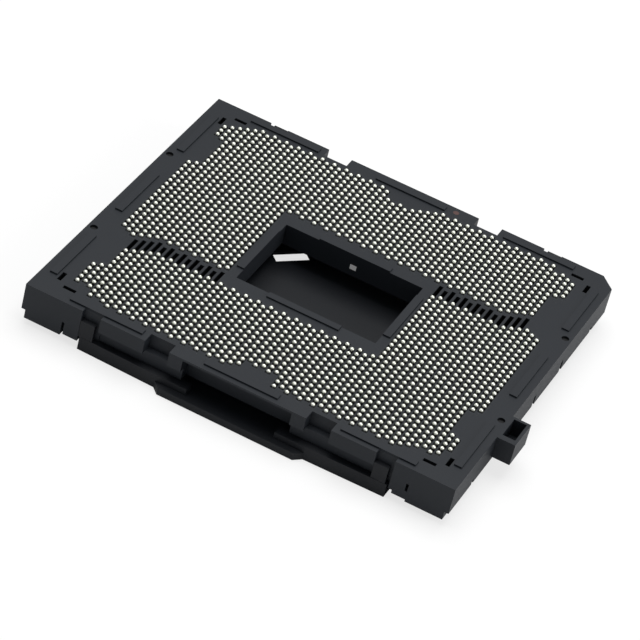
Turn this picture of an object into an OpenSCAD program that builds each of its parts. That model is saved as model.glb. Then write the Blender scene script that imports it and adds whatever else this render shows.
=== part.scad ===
// Land grid array processor socket, solder balls up, standing on its clip-on pick-and-place cap.
// A moulded housing carries 2011 spring contacts in two L-shaped banks round a central window.
// Each contact ends in a solder ball that stands in a sunk row of the board face.
// X runs along the long side, Y along the short side, and Z = 0 is the cap's flat outer face.

/* [Housing] */
// Length of the housing along X
housing_length = 58.2; // [57.4:0.1:60]
// Width of the housing along Y
housing_width = 51.2; // [51.2:0.1:54]
// Height of the side walls, from rim to board face
wall_height = 3.75; // [3.6:0.05:4.5]
// Thickness of the base that carries the contacts
base_thickness = 3.0; // [2.6:0.1:3.2]
// Length of the corner chamfer that marks contact one
chamfer = 1.95; // [1:0.05:2.4]
// Length of the processor package that the housing takes
package_length = 52.5; // [52:0.1:53]
// Width of the processor package that the housing takes
package_width = 45.8; // [45.6:0.1:46]
// Clearance round the package on each side
package_clearance = 0.15; // [0.1:0.05:0.2]
// Length of the central window along X
window_length = 19.4; // [18:0.1:20.4]
// Width of the central window along Y
window_width = 14.1; // [13:0.1:14.8]

/* [Corner posts] */
// How far each corner post stands past the rim
post_height = 1.2; // [1.15:0.05:1.8]
// Length of a post along the long sides
post_leg_long = 5.0; // [4:0.1:5.4]
// Length of a post along the short sides
post_leg_short = 6.6; // [5:0.1:8]
// How far the posts are set in from the short sides
post_inset = 0.55; // [0.3:0.05:0.8]
// Gap between a post and the stub wall beside it
post_gap = 0.35; // [0.2:0.05:0.5]
// Height of the stub walls past the rim
stub_height = 0.9; // [0.5:0.05:1.0]

/* [Standoff ribs] */
// Length of a standoff rib
rib_length = 10; // [8:0.1:11]
// Width of a standoff rib
rib_width = 1.0; // [0.7:0.05:1.1]
// Height of a standoff rib above the board face
rib_height = 0.22; // [0.15:0.01:0.3]
// Distance from the long sides to the middle of their ribs
rib_from_long_side = 1.25; // [1:0.05:1.4]
// Distance from the short sides to the middle of their ribs
rib_from_short_side = 1.55; // [1.2:0.05:1.7]
// Spacing of the ribs along the long sides
rib_spacing_long = 18.45; // [17:0.05:19]
// Spacing of the ribs along the short sides
rib_spacing_short = 16.6; // [15:0.05:17.5]

/* [Solder ball rows and slots] */
// Pitch of the contacts along a column
pitch = 1.016; // [0.99:0.002:1.02]
// Diameter of a solder ball
ball_diameter = 0.62; // [0.5:0.01:0.7]
// Width of the sunk rows that the balls stand in
channel_width = 0.7; // [0.66:0.01:0.78]
// How far a sunk row runs on past its last ball
channel_end = 0.38; // [0.36:0.01:0.44]
// Depth of the sunk rows below the board face
channel_depth = 0.26; // [0.15:0.01:0.28]
// Width of the open slots between the banks
slot_width = 0.54; // [0.4:0.01:0.6]
// Depth of the open slots below the board face
slot_depth = 2.2; // [1:0.1:2.4]
// Distance from a rear ball to the slot in its column
slot_clearance = 1.12; // [0.9:0.01:1.2]

/* [Contacts] */
// Width of a contact arm
arm_width = 0.3; // [0.2:0.01:0.36]
// Length of a contact arm along its column
arm_reach = 0.9; // [0.7:0.02:0.96]
// Height of a contact tip above the seating plane
arm_rise = 0.5; // [0.4:0.01:0.6]
// Length of a contact arm's root
arm_thickness = 0.2; // [0.12:0.01:0.25]

/* [Side features] */
// Width of the wide notches in the long sides
notch_width = 3.35; // [3:0.05:4]
// Depth of the wide notches
notch_depth = 1.7; // [1.4:0.05:1.8]
// Distance of the wide notches from the middle
notch_offset = 10.95; // [10:0.05:12]
// Thickness of the flange round the board face
flange_thickness = 2.0; // [1.6:0.05:2.3]
// Set-back of the wall under the flange
wall_setback = 0.83; // [0.6:0.01:1.2]
// Width of the finger recess in each long side
finger_width = 14.8; // [12:0.1:16]
// Depth of the finger recess
finger_depth = 2.2; // [1.8:0.05:2.25]
// Thickness of the lip over the finger recess
finger_lip = 0.3; // [0.2:0.05:0.5]
// How far the key block stands out of the short side
key_reach = 2.45; // [2:0.05:3]
// Width of the key block along Y
key_width = 4.9; // [4:0.1:6]
// Height of the key block
key_height = 3.1; // [2.6:0.1:3.4]
// Distance of the key block from the middle
key_offset = 10.9; // [10:0.1:12]
// Wall of the key block round its pocket
key_wall = 0.4; // [0.3:0.05:0.6]
// Depth of the key block's pocket
key_pocket_depth = 2.4; // [1.5:0.1:2.5]

/* [Pick and place cap] */
// Thickness of the cap's plate
cap_thickness = 0.8; // [0.7:0.05:1.0]
// Thickness of the cap's middle panel
panel_thickness = 0.45; // [0.4:0.05:0.6]
// Width of the rim round the cap's middle panel
panel_rim = 4.0; // [3:0.1:6]
// How far the plate reaches under the corner posts
cap_lap = 0.7; // [0.5:0.05:0.8]
// Height of the bars along the long sides
bar_height = 1.9; // [1.5:0.05:1.9]
// Length of the bars
bar_length = 41.9; // [41.2:0.1:42.4]
// How far the bars bow out at the middle
bar_bow = 0.25; // [0.1:0.05:0.5]
// Width of the finger tab
tab_width = 20.4; // [18:0.1:22]
// How far the finger tab stands out
tab_reach = 0.95; // [0.6:0.05:1.2]
// Thickness of the finger tab's open middle
tab_thickness = 1.0; // [0.8:0.05:1.2]
// Width of the open middle of the finger tab
tab_opening = 12; // [10:0.1:14]
// Width of a hook arm
hook_width = 1.9; // [1.6:0.05:1.95]
// Thickness of a hook arm
hook_thickness = 0.64; // [0.5:0.02:0.7]
// Clearance between a hook arm and the bottom of its guide
hook_clearance = 0.06; // [0.04:0.01:0.12]
// Width of the guide that a hook arm runs in
guide_width = 2.5; // [2.45:0.05:2.6]
// How far the hook arms sit off the middle of their guides
hook_shift = 0.25; // [0:0.05:0.25]
// Distance of the hook guides from the middle
guide_offset = 19.95; // [19.6:0.05:20.4]
// How far the front hooks stop short of the board face
front_hook_drop = 1.5; // [0.8:0.05:1.8]
// How far the rear hooks stop short of the board face
rear_hook_drop = 0.1; // [0.05:0.05:0.4]
// Length of a vent slot in the cap
vent_length = 4.8; // [4:0.1:5.2]
// Width of a vent slot in the cap
vent_width = 1.85; // [1.2:0.05:2.2]
// Distance of the vent slots from the middle along each axis
vent_offset = 8.5; // [7.5:0.05:9]

/* [Hidden] */
$fn = 48;
eps = 0.01;

HALF_COLUMNS = 29;
HALF_ROWS = 45;
WING_COLUMN = 13;
LAST_SLOT_COLUMN = 26;
ZONES_PER_BANK = 5;

column_pitch = pitch * sqrt(3) / 2;
half_length = housing_length / 2;
half_width = housing_width / 2;
rim_z = cap_thickness + post_height;
board_z = rim_z + wall_height;
seat_z = board_z - base_thickness;
flange_z = board_z - flange_thickness;
channel_z = board_z - channel_depth;
seat_length = package_length + 2 * package_clearance;
seat_width = package_width + 2 * package_clearance;
long_wall = (housing_width - seat_width) / 2;
short_wall = (housing_length - seat_length) / 2;
guide_depth = hook_thickness + hook_clearance;
post_end = half_length - post_inset - post_leg_long;
guide_end = guide_offset + guide_width / 2;
lip_z = board_z - finger_lip;
nick_height = 0.8;
side_nick = [0.7, 1.5];
side_nick_places = [-0.1, 8.6];
stub_step = 0.5;
corner_slot_depth = 2.2;
corner_slot = [1.72, 0.56];
corner_slot_long = [24.5, 23.0];
corner_slot_short = [26.45, 21.4];
pin_mark_diameter = 1.0;
pin_mark_depth = 0.3;
pin_mark_place = [28.25, 10.1];
key_pocket_walls = [0.35, 0.85, 0.4];

// The origin lies under the middle of the whole part, which the key block widens on one side
frame_shift = -key_reach / 2;

zone_names = [for (b = ["rear", "front"]) for (k = [1 : ZONES_PER_BANK]) str(b, "_", k)];
ZONES = 2 * ZONES_PER_BANK;

// ---- Populated sites -------------------------------------------------------------------------
// A site is a column number and a row number in half pitches, both counted from the middle.
// Neighbouring columns are staggered, so only sites whose numbers add up to an odd sum exist.

// Lowest row of the rear bank's left wing. The front bank's right wing mirrors it.
function wing_end(c) = c >= -24 ? -13 : c >= -27 ? c + 11 : -43 - c;

// Highest row that the keying dips in the rear edge leave in column c
function rear_dip(c) = c >= -2 && c <= 5 ? max(41, 39 + c) : c == 25 ? 43 : HALF_ROWS;

// Lowest row that the keying dips in the front edge leave in column c
function front_dip(c) =
    c <= -26 ? -41 : c <= -23 ? -44 : c == -2 ? -43 : c > -2 && c < 4 ? -41 :
    c == 29 ? -38 : c >= 27 ? -42 : -HALF_ROWS;

// First and last row of each bank in column c
function rear_top(c) = min(c + 69, 69 - c, rear_dip(c));
function rear_bottom(c) = c <= -WING_COLUMN ? wing_end(c) : c >= 27 ? 34 : max(19, c - 3);
function front_top(c) = c >= WING_COLUMN ? -wing_end(-c) : c <= -27 ? c - 5 : min(-19, c + 3);
function front_bottom(c) = c >= 27 ? front_dip(c) : max(front_dip(c), c - 67);

// The notches in the short sides of the two banks split their outer columns in two
REAR_NOTCH = [22, 34];
FRONT_NOTCH = [-32, -22];
function is_notched(c) = abs(c) >= 28;

// Runs of sites, each [column, first row, last row]
function split_run(c, low, high, notch) =
    is_notched(c) ? [[c, low, notch[0] - 1], [c, notch[1] + 1, high]] : [[c, low, high]];

function on_site(c, r, step) = abs(c + r) % 2 == 1 ? r : r + step;
function trimmed(run) = [run[0], on_site(run[0], run[1], 1), on_site(run[0], run[2], -1)];
function real_runs(runs) = [for (u = runs) let (t = trimmed(u)) if (t[1] <= t[2]) t];

rear_runs = real_runs([for (c = [-HALF_COLUMNS : HALF_COLUMNS - 1])
    for (u = c < 0 ? split_run(c, rear_bottom(c), rear_top(c), REAR_NOTCH)
                   : [[c, rear_bottom(c), rear_top(c)]]) u]);
front_runs = real_runs([for (c = [1 - HALF_COLUMNS : HALF_COLUMNS])
    for (u = c > 0 ? split_run(c, front_bottom(c), front_top(c), FRONT_NOTCH)
                   : [[c, front_bottom(c), front_top(c)]]) u]);

function run_sites(runs) = [for (u = runs) for (r = [u[1] : 2 : u[2]]) [u[0], r]];
rear_sites = run_sites(rear_runs);
front_sites = run_sites(front_runs);

function column_x(c) = c * column_pitch;
function row_y(r) = r * pitch / 2;

// Share i of a list that is cut into n nearly equal runs
function share(list, i, n) =
    [for (k = [floor(i * len(list) / n) : floor((i + 1) * len(list) / n) - 1]) list[k]];

function is_rear(i) = i < ZONES_PER_BANK;
function zone_sites(i) =
    is_rear(i) ? share(rear_sites, i, ZONES_PER_BANK)
               : share(front_sites, i - ZONES_PER_BANK, ZONES_PER_BANK);

// ---- Shared shapes ---------------------------------------------------------------------------

// Box that is centred in X and Y on a place and stands on its Z
module block(size, at) {
    translate([at[0] - size[0] / 2, at[1] - size[1] / 2, at[2]]) cube(size);
}

// Box between two opposite corners
module span(low, high) {
    translate(low) cube(high - low);
}

module to_frame() {
    translate([frame_shift, 0, 0]) children();
}

// ---- Housing ---------------------------------------------------------------------------------

module walls_and_base() {
    difference() {
        block([housing_length, housing_width, wall_height], [0, 0, rim_z]);
        block([seat_length, seat_width, seat_z - rim_z + eps], [0, 0, rim_z - eps]);
        block([window_length, window_width, wall_height], [0, 0, seat_z - eps]);
    }
}

module corner_posts() {
    depth = post_height + eps;
    for (sx = [-1, 1]) for (sy = [-1, 1]) {
        block([post_leg_long, long_wall, depth],
              [sx * (half_length - post_inset - post_leg_long / 2),
               sy * (half_width - long_wall / 2), cap_thickness]);
        block([short_wall - post_inset, post_leg_short, depth],
              [sx * (half_length - short_wall / 2 - post_inset / 2),
               sy * (half_width - post_leg_short / 2), cap_thickness]);
    }
}

// Low walls between the posts and the hook guides. The right ones join their posts.
module stub_walls() {
    for (sy = [-1, 1]) {
        y = sy * (half_width - long_wall / 2);
        left = post_end - post_gap;
        right = guide_end + stub_step;
        block([left - guide_end, long_wall, stub_height + eps],
              [-(left + guide_end) / 2, y, rim_z - stub_height]);
        block([post_end - right + eps, long_wall, stub_height + eps],
              [(post_end + right) / 2, y, rim_z - stub_height]);
        block([stub_step + eps, long_wall, stub_height / 2 + eps],
              [guide_end + stub_step / 2, y, rim_z - stub_height / 2]);
    }
}

module key_block() {
    span([half_length - eps, -key_offset - key_width / 2, board_z - key_height],
         [half_length + key_reach, -key_offset + key_width / 2, board_z]);
}

module key_pocket() {
    span([half_length + key_pocket_walls[0],
          -key_offset - key_width / 2 + key_pocket_walls[1], board_z - key_pocket_depth],
         [half_length + key_reach - key_wall,
          -key_offset + key_width / 2 - key_pocket_walls[2], board_z + 1]);
}

module corner_chamfer() {
    reach = chamfer + 1;
    translate([0, 0, -1]) linear_extrude(board_z + 2)
        polygon([[half_length + 1, half_width - reach],
                 [half_length + 1, half_width + 1],
                 [half_length - reach, half_width + 1]]);
}

module standoff_ribs() {
    height = rib_height + eps;
    z = board_z - eps;
    along_x = [rib_length, rib_width, height];
    along_y = [rib_width, rib_length, height];
    for (s = [-1, 1]) {
        for (k = [-1, 0, 1]) {
            block(along_x, [k * rib_spacing_long, s * (half_width - rib_from_long_side), z]);
            block(along_y, [s * (half_length - rib_from_short_side), k * rib_spacing_short, z]);
        }
        block(along_x, [0, s * (window_width / 2 + rib_width / 2), z]);
        block(along_y, [s * (window_length / 2 + rib_width / 2), 0, z]);
    }
}

// Sunk rows of the board face, one for each run of balls
module channels(runs) {
    for (u = runs)
        span([column_x(u[0]) - channel_width / 2, row_y(u[1]) - channel_end, channel_z],
             [column_x(u[0]) + channel_width / 2, row_y(u[2]) + channel_end, board_z + 1]);
}

// Open slots that carry on the columns between the two banks, on one side of the window
module bank_slots(side) {
    for (k = [WING_COLUMN : LAST_SLOT_COLUMN]) {
        c = side * k;
        low = row_y(on_site(c, front_top(c), -1)) + channel_end - eps;
        high = row_y(on_site(c, rear_bottom(c), 1)) - slot_clearance;
        span([column_x(c) - slot_width / 2, low, board_z - slot_depth],
             [column_x(c) + slot_width / 2, high, board_z + 1]);
    }
}

module wide_notches() {
    for (sx = [-1, 1]) for (sy = [-1, 1])
        block([notch_width, 2 * notch_depth, flange_thickness + 1],
              [sx * notch_offset, sy * half_width, flange_z - eps]);
}

module hook_guides() {
    for (sx = [-1, 1]) for (sy = [-1, 1])
        block([guide_width, 2 * guide_depth, board_z + 1],
              [sx * guide_offset, sy * half_width, 0]);
}

// The long walls step back under the flange, as far as the hook guides
module wall_setbacks() {
    length = 2 * guide_offset - guide_width + 2 * eps;
    for (sy = [-1, 1])
        block([length, 2 * wall_setback, flange_z], [0, sy * half_width, 0]);
}

module finger_recesses() {
    for (sy = [-1, 1])
        block([finger_width, 2 * finger_depth, lip_z - rim_z + 1],
              [0, sy * half_width, rim_z - 1]);
}

module corner_slots() {
    z = board_z - corner_slot_depth;
    for (sx = [-1, 1]) for (sy = [-1, 1]) {
        block([corner_slot[0], corner_slot[1], corner_slot_depth + 1],
              [sx * corner_slot_long[0], sy * corner_slot_long[1], z]);
        block([corner_slot[1], corner_slot[0], corner_slot_depth + 1],
              [sx * corner_slot_short[0], sy * corner_slot_short[1], z]);
    }
}

// Nicks in the lower edge of the walls, where the posts begin and along the short sides
module edge_nicks() {
    reach = 1.2;
    for (sx = [-1, 1]) {
        for (sy = [-1, 1]) {
            block([post_gap, 2 * reach, nick_height + 0.3],
                  [sx * (post_end - post_gap / 2), sy * half_width, rim_z - (sx < 0 ? 0.3 : -0.3)]);
            block([2 * reach, 0.6, 1.6],
                  [sx * half_length, sy * (half_width - post_leg_short - 0.3), rim_z - 1]);
        }
        for (y = side_nick_places)
            block([2 * reach, side_nick[0], side_nick[1] + 1], [sx * half_length, y, rim_z - 1]);
    }
}

module pin_marks() {
    for (sx = [-1, 1]) for (sy = [-1, 1])
        translate([sx * pin_mark_place[0], sy * pin_mark_place[1], board_z - pin_mark_depth])
            cylinder(d = pin_mark_diameter, h = pin_mark_depth + 1);
}

module housing() {
    color("#4b4e54") to_frame() difference() {
        union() {
            walls_and_base();
            corner_posts();
            stub_walls();
            key_block();
            standoff_ribs();
        }
        channels(rear_runs);
        channels(front_runs);
        bank_slots(-1);
        bank_slots(1);
        wide_notches();
        hook_guides();
        wall_setbacks();
        finger_recesses();
        corner_slots();
        edge_nicks();
        pin_marks();
        key_pocket();
        corner_chamfer();
    }
}

// ---- Pick and place cap ----------------------------------------------------------------------

module cap_plate() {
    length = seat_length + 2 * cap_lap;
    width = seat_width + 2 * cap_lap;
    difference() {
        block([length, width, cap_thickness], [0, 0, 0]);
        block([length - 2 * panel_rim, width - 2 * panel_rim, cap_thickness],
              [0, 0, panel_thickness]);
    }
}

// One bar with its finger tab, along the rear side
module cap_bar() {
    inner = half_width - long_wall / 2;
    root = seat_width / 2;
    face = half_width + bar_bow;
    half_bar = bar_length / 2;
    half_tab = tab_width / 2;
    half_opening = tab_opening / 2;
    for (s = [-1, 1])
        linear_extrude(bar_height)
            polygon([[s * half_opening, inner], [s * half_opening, face], [s * half_tab, face],
                     [s * half_bar, half_width], [s * half_bar, inner]]);
    linear_extrude(cap_thickness)
        polygon([[-half_bar, root], [-half_bar, half_width], [-half_tab, face],
                 [half_tab, face], [half_bar, half_width], [half_bar, root]]);
    linear_extrude(tab_thickness)
        polygon([[-half_tab, inner], [-half_tab, face],
                 [tab_reach - half_tab, face + tab_reach], [half_tab - tab_reach, face + tab_reach],
                 [half_tab, face], [half_tab, inner]]);
}

module hook_arms(drop, shift) {
    for (s = [-1, 1])
        block([hook_width, hook_thickness, board_z - drop - bar_height + 2 * eps],
              [s * guide_offset + shift, half_width - hook_thickness / 2, bar_height - 2 * eps]);
}

module cap_vents() {
    for (s = [-1, 1])
        translate([-s * vent_offset, s * vent_offset, -1]) rotate(45)
            translate([-vent_length / 2, -vent_width / 2, 0])
                cube([vent_length, vent_width, cap_thickness + 2]);
}

module pick_and_place_cap() {
    color("#3c4047") to_frame() difference() {
        union() {
            cap_plate();
            cap_bar();
            rotate(180) cap_bar();
            hook_arms(rear_hook_drop, hook_shift);
            rotate(180) hook_arms(front_hook_drop, hook_shift);
        }
        cap_vents();
    }
}

// ---- Contacts and solder balls ---------------------------------------------------------------

// The balls of one zone stand on the floor of their sunk rows
module solder_balls(i) {
    r = ball_diameter / 2;
    color("#d9dad6") to_frame()
        for (s = zone_sites(i))
            translate([column_x(s[0]), row_y(s[1]), channel_z + r]) sphere(r);
}

// The arms of one zone hang from the seating plane and lean towards the middle of the socket
module spring_contacts(i) {
    lean = is_rear(i) ? -1 : 1;
    back = -arm_thickness / 2;
    color("#c9a24a") to_frame()
        for (s = zone_sites(i))
            translate([column_x(s[0]), row_y(s[1]), seat_z]) rotate([90, 0, 90])
                linear_extrude(arm_width, center = true)
                    polygon([[lean * back, 0], [lean * (back + arm_thickness), 0],
                             [lean * (back + arm_reach), -arm_rise]]);
}

housing();
pick_and_place_cap();
for (i = [0 : ZONES - 1]) {
    solder_balls(i);
    spring_contacts(i);
}
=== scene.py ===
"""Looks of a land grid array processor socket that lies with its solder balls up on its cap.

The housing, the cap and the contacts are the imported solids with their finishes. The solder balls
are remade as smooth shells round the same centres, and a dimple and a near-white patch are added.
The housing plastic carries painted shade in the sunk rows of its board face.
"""

import math

import bpy
import numpy as np
from mathutils import Matrix, Vector


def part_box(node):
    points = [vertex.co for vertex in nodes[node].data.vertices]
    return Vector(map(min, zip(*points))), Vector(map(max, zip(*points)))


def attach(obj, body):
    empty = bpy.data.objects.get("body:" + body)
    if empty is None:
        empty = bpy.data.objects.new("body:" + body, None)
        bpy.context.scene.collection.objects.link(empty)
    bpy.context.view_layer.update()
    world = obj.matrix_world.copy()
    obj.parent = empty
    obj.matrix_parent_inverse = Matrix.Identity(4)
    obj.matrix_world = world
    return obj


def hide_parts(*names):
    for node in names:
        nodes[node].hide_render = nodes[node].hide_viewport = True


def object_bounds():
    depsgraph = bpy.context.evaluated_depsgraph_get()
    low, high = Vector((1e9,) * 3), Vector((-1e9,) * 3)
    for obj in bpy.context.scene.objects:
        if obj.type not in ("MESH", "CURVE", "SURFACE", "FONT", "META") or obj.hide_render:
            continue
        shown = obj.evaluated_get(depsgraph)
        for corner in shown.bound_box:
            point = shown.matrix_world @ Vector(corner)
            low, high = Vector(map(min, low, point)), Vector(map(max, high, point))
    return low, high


MM = 0.001

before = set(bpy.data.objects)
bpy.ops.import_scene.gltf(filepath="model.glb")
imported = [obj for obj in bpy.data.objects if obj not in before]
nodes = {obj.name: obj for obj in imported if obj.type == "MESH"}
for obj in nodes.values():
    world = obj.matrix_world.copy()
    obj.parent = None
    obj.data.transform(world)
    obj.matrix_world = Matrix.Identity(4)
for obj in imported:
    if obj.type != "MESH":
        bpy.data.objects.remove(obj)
cad_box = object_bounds()

HOUSING = "housing"
CAP = "pick_and_place_cap"
BALL_ZONES = sorted(n for n in nodes if n.startswith("solder_balls_"))
CONTACT_ZONES = sorted(n for n in nodes if n.startswith("spring_contacts_"))

housing_low, housing_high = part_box(HOUSING)
RIB_HEIGHT = 0.22 * MM
KEY_REACH = 2.45 * MM
BOARD_Z = housing_high.z - RIB_HEIGHT
MIDDLE_X = (housing_low.x + housing_high.x - KEY_REACH) / 2
MIDDLE_Y = (housing_low.y + housing_high.y) / 2

# Window of the housing, on its own middle
WINDOW_HALF_LENGTH = 9.7 * MM
WINDOW_HALF_WIDTH = 7.05 * MM

# Stretch of the board face that holds the sunk rows, slots and pin marks, where painted shade
# darkens the plastic
FIELD_HALF_LENGTH = 29.0 * MM
FIELD_HALF_WIDTH = 23.35 * MM
ROW_DEPTH = 0.26 * MM

# Grain of the moulded plastic
GRAIN_SCALE = 5200.0
CLOUD_SCALE = 260.0
GRAIN_HEIGHT = 0.02 * MM
# Painted shade in the sunk rows, slots and pin marks below the board face, away from the window
SHADE_START = 0.03 * MM
SHADE_END = 2.4 * MM
WINDOW_FRAME = 0.3 * MM
SHADE_STRENGTH = 0.9
PAINTED_PIT_SHADE = (0.0015, 0.0015, 0.0018, 1.0)

# Solder ball shell
BALL_SIDES = 16
BALL_RINGS = 9
BALL_SHRINK = 0.95
TOP_TOLERANCE = 1e-6

# Near-white patch on the window's rear wall and dimple on the board face, from the housing's
# middle
PATCH_X = (-0.25 * MM, 0.65 * MM)
PATCH_BELOW_BOARD = (2.05 * MM, 1.35 * MM)
DIMPLE_PLACE = (6.4 * MM, 24.6 * MM)
DIMPLE_DIAMETER = 0.8 * MM
SKIN = 0.004 * MM
WALL_SKIN = 0.01 * MM

# Studio
WORLD_LEVEL = 0.35
WORLD_SHOWN = 0.65
WORLD_GLOSS = 0.3
FLOOR_HALF = 3.0
FLOOR_GAP = 0.02 * MM
FLOOR_WHITE = 0.72
OVERHEAD_LAMP = {"place": (-0.05, 0.12, 0.55), "side": 0.5, "watts": 3.0}
RIGHT_LAMP = {"place": (0.6, 0.1, 0.25), "side": 0.4, "watts": 1.6}

# Camera
CAMERA_LENS = 202.8
CAMERA_PLACE = Vector((104.21, -343.3, 270.8)) * MM
CAMERA_AIM = Vector((-0.23446, 0.76301, -0.60237))
CAMERA_ROLL = math.radians(14.84)


# ---- Shader maths ------------------------------------------------------------------------------


class Wire:
    """A shader socket. Arithmetic on it adds Math nodes."""

    def __init__(self, finish, socket):
        self.finish, self.socket = finish, socket

    def _math(self, operation, *values, clamp=False):
        return self.finish.node(
            "ShaderNodeMath",
            {"operation": operation, "use_clamp": clamp},
            dict(enumerate(values)),
        )

    def __add__(self, other):
        return self._math("ADD", self, other)

    __radd__ = __add__

    def __sub__(self, other):
        return self._math("SUBTRACT", self, other)

    def __rsub__(self, other):
        return self._math("SUBTRACT", other, self)

    def __mul__(self, other):
        return self._math("MULTIPLY", self, other)

    __rmul__ = __mul__

    def __truediv__(self, other):
        return self._math("DIVIDE", self, other)

    def __lt__(self, other):
        return self._math("LESS_THAN", self, other)

    def __gt__(self, other):
        return self._math("GREATER_THAN", self, other)

    def __abs__(self):
        return self._math("ABSOLUTE", self)

    def clamped(self):
        return self._math("ADD", self, 0.0, clamp=True)


class Finish:
    """A named material, or the world, and the nodes in it."""

    def __init__(self, owner):
        owner.use_nodes = True
        self.owner = owner
        self.tree = owner.node_tree
        self.tree.nodes.clear()

    def node(self, kind, settings=None, sockets=None, out=0):
        """Any node: its settings first, then the values or wires of its sockets."""
        made = self.tree.nodes.new(kind)
        for key, value in (settings or {}).items():
            setattr(made, key, value)
        for key, value in (sockets or {}).items():
            socket = made.inputs[key]
            if isinstance(value, Wire):
                self.tree.links.new(value.socket, socket)
            else:
                socket.default_value = value
        return Wire(self, made.outputs[out]) if made.outputs else None

    def place(self):
        """Where a point lies in the part's own frame, as X, Y and Z wires."""
        here = self.node("ShaderNodeTexCoord", out="Object")
        split = self.tree.nodes.new("ShaderNodeSeparateXYZ")
        self.tree.links.new(here.socket, split.inputs[0])
        return [Wire(self, split.outputs[axis]) for axis in range(3)]

    def noise(self, scale, detail=3.0, roughness=0.6):
        here = self.node("ShaderNodeTexCoord", out="Object")
        return self.node(
            "ShaderNodeTexNoise",
            {"noise_dimensions": "3D"},
            {"Vector": here, "Scale": scale, "Detail": detail, "Roughness": roughness},
        )

    def mix(self, factor, first, second, blend="MIX"):
        """Colours are (r, g, b, 1) or wires."""
        made = self.tree.nodes.new("ShaderNodeMix")
        made.data_type, made.blend_type = "RGBA", blend
        for key, value in ((0, factor), (6, first), (7, second)):
            if isinstance(value, Wire):
                self.tree.links.new(value.socket, made.inputs[key])
            else:
                made.inputs[key].default_value = value
        return Wire(self, made.outputs[2])

    def bump(self, height, distance, strength):
        return self.node(
            "ShaderNodeBump",
            sockets={"Height": height, "Distance": distance, "Strength": strength},
        )

    def seen_by_camera(self):
        return self.node("ShaderNodeLightPath", out="Is Camera Ray")

    def surface(self, **sockets):
        shader = self.node(
            "ShaderNodeBsdfPrincipled",
            {},
            {key.replace("_", " "): value for key, value in sockets.items()},
        )
        self.node("ShaderNodeOutputMaterial", sockets={"Surface": shader})
        return self.owner


def new_finish(name):
    return Finish(bpy.data.materials.new(name))


# ---- Finishes ----------------------------------------------------------------------------------


def moulded_plastic(name, colour, depth_shade):
    """Filled plastic with a fine grain. In the sunk rows of the board face painted shade turns it
    near black.
    """
    finish = new_finish(name)
    x, y, z = finish.place()
    grain = finish.noise(GRAIN_SCALE, 4.0, 0.7)
    cloud = finish.noise(CLOUD_SCALE, 3.0, 0.55)
    tone = 0.86 + 0.16 * grain + 0.12 * cloud
    dark = tuple(c * 0.55 for c in colour[:3]) + (1.0,)
    pale = tuple(min(1.0, c * 1.35) for c in colour[:3]) + (1.0,)
    body = finish.mix((tone - 0.6) / 0.8, dark, pale)
    # Painted shade: below the board face inside the field, away from the window, the plastic is
    # mixed towards near black
    if depth_shade:
        in_length = abs(x - MIDDLE_X) < FIELD_HALF_LENGTH
        in_width = abs(y - MIDDLE_Y) < FIELD_HALF_WIDTH
        below = ((BOARD_Z - SHADE_START - z) / (ROW_DEPTH * 0.6)).clamped()
        near_top = z > (BOARD_Z - SHADE_END)
        clear_x = abs(x - MIDDLE_X) > (WINDOW_HALF_LENGTH + WINDOW_FRAME)
        clear_y = abs(y - MIDDLE_Y) > (WINDOW_HALF_WIDTH + WINDOW_FRAME)
        off_window = (clear_x + clear_y).clamped()
        sunk = below * in_length * in_width * near_top * off_window
        body = finish.mix(sunk * SHADE_STRENGTH, body, PAINTED_PIT_SHADE)
    return finish.surface(
        Base_Color=body,
        Roughness=0.5 + 0.14 * grain,
        Specular_IOR_Level=0.26,
        Normal=finish.bump(grain, GRAIN_HEIGHT, 0.35),
    )


def tin_solder():
    finish = new_finish("tin_solder")
    grain = finish.noise(2600.0, 2.0, 0.5)
    return finish.surface(
        Base_Color=finish.mix(grain, (0.66, 0.68, 0.61, 1.0), (0.84, 0.86, 0.78, 1.0)),
        Metallic=1.0,
        Roughness=0.3 + 0.12 * grain,
    )


def gold_contact():
    finish = new_finish("gold_contact")
    return finish.surface(Base_Color=(0.8, 0.58, 0.25, 1.0), Metallic=1.0, Roughness=0.28)


def plain(name, colour, roughness):
    return new_finish(name).surface(Base_Color=colour, Roughness=roughness)


# The housing plastic gets the painted shade in its sunk rows; the cap plastic does not
HOUSING_PLASTIC = moulded_plastic("housing_plastic", (0.0105, 0.0132, 0.0175, 1.0), True)
CAP_PLASTIC = moulded_plastic("cap_plastic", (0.0035, 0.0048, 0.0072, 1.0), False)
TIN = tin_solder()
GOLD = gold_contact()
# Near-white colour of the small patch on the window's rear wall
PALE_WALL_PATCH = plain("pale_wall_patch", (0.95, 0.95, 0.95, 1.0), 0.5)
RESIN_DIMPLE = plain("resin_dimple", (0.06, 0.022, 0.018, 1.0), 0.5)


def dress(node, material):
    mesh = nodes[node].data
    mesh.materials.clear()
    mesh.materials.append(material)


# ---- Solder balls ------------------------------------------------------------------------------


def ball_places(node):
    """Centre of each ball of a zone and their common radius, from the tops of the solids."""
    co = np.array([v.co for v in nodes[node].data.vertices])
    low, high = co[:, 2].min(), co[:, 2].max()
    radius = (high - low) / 2
    tops = np.unique(np.round(co[co[:, 2] > high - TOP_TOLERANCE][:, :2], 6), axis=0)
    return [Vector((x, y, low + radius)) for x, y in tops], radius


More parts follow.
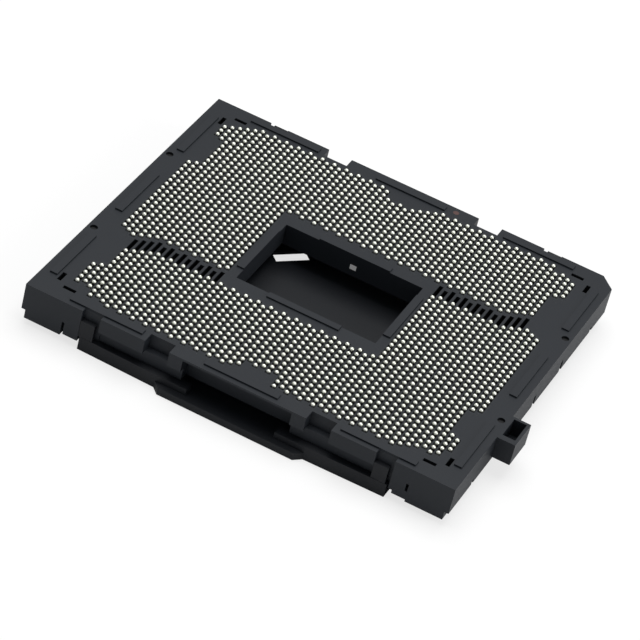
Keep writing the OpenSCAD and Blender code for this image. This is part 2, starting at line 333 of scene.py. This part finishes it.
def ball_shell(radius):
    """Points and faces of one smooth ball round the origin."""
    points = [(0.0, 0.0, radius)]
    for ring in range(1, BALL_RINGS):
        tilt = math.pi * ring / BALL_RINGS
        for side in range(BALL_SIDES):
            turn = 2 * math.pi * side / BALL_SIDES
            points.append(
                (
                    radius * math.sin(tilt) * math.cos(turn),
                    radius * math.sin(tilt) * math.sin(turn),
                    radius * math.cos(tilt),
                )
            )
    points.append((0.0, 0.0, -radius))
    last = len(points) - 1
    faces = []
    for side in range(BALL_SIDES):
        after = (side + 1) % BALL_SIDES
        faces.append((0, 1 + side, 1 + after))
        for ring in range(BALL_RINGS - 2):
            a = 1 + ring * BALL_SIDES
            b = a + BALL_SIDES
            faces.append((a + side, b + side, b + after, a + after))
        base = 1 + (BALL_RINGS - 2) * BALL_SIDES
        faces.append((base + after, base + side, last))
    return np.array(points), faces


def add_piece(name, points, faces, material, smooth=False):
    mesh = bpy.data.meshes.new(name)
    mesh.from_pydata([tuple(p) for p in points], [], faces)
    mesh.update()
    if smooth:
        mesh.shade_smooth()
    mesh.materials.append(material)
    piece = bpy.data.objects.new(name, mesh)
    bpy.context.scene.collection.objects.link(piece)
    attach(piece, "root")
    return piece


def add_ball_zone(node):
    """One piece with a smooth shell for every ball of a zone."""
    centres, radius = ball_places(node)
    shell, shell_faces = ball_shell(radius * BALL_SHRINK)
    points, faces = [], []
    for centre in centres:
        first = len(points)
        points.extend(shell + np.array(centre))
        faces.extend(tuple(first + i for i in face) for face in shell_faces)
    piece = add_piece("tin_" + node, points, faces, TIN, smooth=True)
    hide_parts(node)


# ---- Dimple and pale wall patch ----------------------------------------------------------------


def add_dimple(sides=24):
    """Thin round skin on the board face near the rear edge."""
    x, y = MIDDLE_X + DIMPLE_PLACE[0], MIDDLE_Y + DIMPLE_PLACE[1]
    turns = [2 * math.pi * k / sides for k in range(sides)]
    ring = [
        (
            x + DIMPLE_DIAMETER / 2 * math.cos(turn),
            y + DIMPLE_DIAMETER / 2 * math.sin(turn),
            BOARD_Z + SKIN,
        )
        for turn in turns
    ]
    piece = add_piece("resin_dimple", ring, [tuple(range(sides))], RESIN_DIMPLE)


def add_pale_wall_patch():
    """Small near-white patch on the window's rear wall."""
    y = MIDDLE_Y + WINDOW_HALF_WIDTH - WALL_SKIN
    x0, x1 = (MIDDLE_X + x for x in PATCH_X)
    z0, z1 = (BOARD_Z - depth for depth in PATCH_BELOW_BOARD)
    corners = [(x0, y, z0), (x1, y, z0), (x1, y, z1), (x0, y, z1)]
    piece = add_piece("pale_wall_patch", corners, [(0, 1, 2, 3)], PALE_WALL_PATCH)


# ---- Studio ------------------------------------------------------------------------------------


def add_floor():
    """Pale floor that shows nearly white and keeps a soft shadow of the part."""
    half = FLOOR_HALF
    mesh = bpy.data.meshes.new("floor")
    mesh.from_pydata(
        [(-half, -half, 0), (half, -half, 0), (half, half, 0), (-half, half, 0)],
        [],
        [(0, 1, 2, 3)],
    )
    finish = new_finish("pale_floor")
    matt = finish.node("ShaderNodeBsdfDiffuse", sockets={"Color": (0.9, 0.9, 0.9, 1.0)})
    white = finish.node("ShaderNodeEmission", sockets={"Color": (1, 1, 1, 1), "Strength": 1.0})
    shown = finish.seen_by_camera() * FLOOR_WHITE
    both = finish.node("ShaderNodeMixShader", sockets={0: shown, 1: matt, 2: white})
    finish.node("ShaderNodeOutputMaterial", sockets={"Surface": both})
    mesh.materials.append(finish.owner)
    floor = bpy.data.objects.new("floor", mesh)
    floor.location.z = cad_box[0][2] - FLOOR_GAP
    bpy.context.scene.collection.objects.link(floor)


def add_softbox(name, place, side, watts):
    """Square lamp that faces the part."""
    data = bpy.data.lights.new(name, "AREA")
    data.shape, data.size, data.size_y = "RECTANGLE", side, side
    data.energy = watts
    lamp = bpy.data.objects.new(name, data)
    lamp.location = place
    lamp.rotation_euler = (-Vector(place)).to_track_quat("-Z", "Y").to_euler()
    bpy.context.scene.collection.objects.link(lamp)


def light_studio():
    world = bpy.data.worlds.new("studio")
    bpy.context.scene.world = world
    finish = Finish(world)
    glossy = finish.node("ShaderNodeLightPath", out="Is Glossy Ray")
    shown = (finish.seen_by_camera() + glossy * WORLD_GLOSS).clamped()
    level = WORLD_LEVEL + WORLD_SHOWN * shown
    shade = finish.node(
        "ShaderNodeBackground", sockets={"Color": (1, 1, 1, 1), "Strength": level}
    )
    finish.node("ShaderNodeOutputWorld", sockets={"Surface": shade})
    add_softbox("overhead", **OVERHEAD_LAMP)
    add_softbox("right_side", **RIGHT_LAMP)


def add_camera():
    """Camera at the viewing angle, rolled so that the long side falls to the right."""
    data = bpy.data.cameras.new("camera")
    data.lens, data.sensor_width = CAMERA_LENS, 36.0
    data.clip_start, data.clip_end = 0.01, 10.0
    camera = bpy.data.objects.new("camera", data)
    level = CAMERA_AIM.to_track_quat("-Z", "Y").to_matrix()
    turn = level @ Matrix.Rotation(CAMERA_ROLL, 3, "Z")
    camera.matrix_world = Matrix.Translation(CAMERA_PLACE) @ turn.to_4x4()
    bpy.context.scene.collection.objects.link(camera)
    bpy.context.scene.camera = camera


# ---- Assembly ----------------------------------------------------------------------------------

dress(HOUSING, HOUSING_PLASTIC)
dress(CAP, CAP_PLASTIC)
for zone in CONTACT_ZONES:
    dress(zone, GOLD)
for zone in BALL_ZONES:
    add_ball_zone(zone)
add_pale_wall_patch()
add_dimple()
add_floor()
light_studio()
add_camera()
bpy.context.scene.view_settings.view_transform = "Standard"
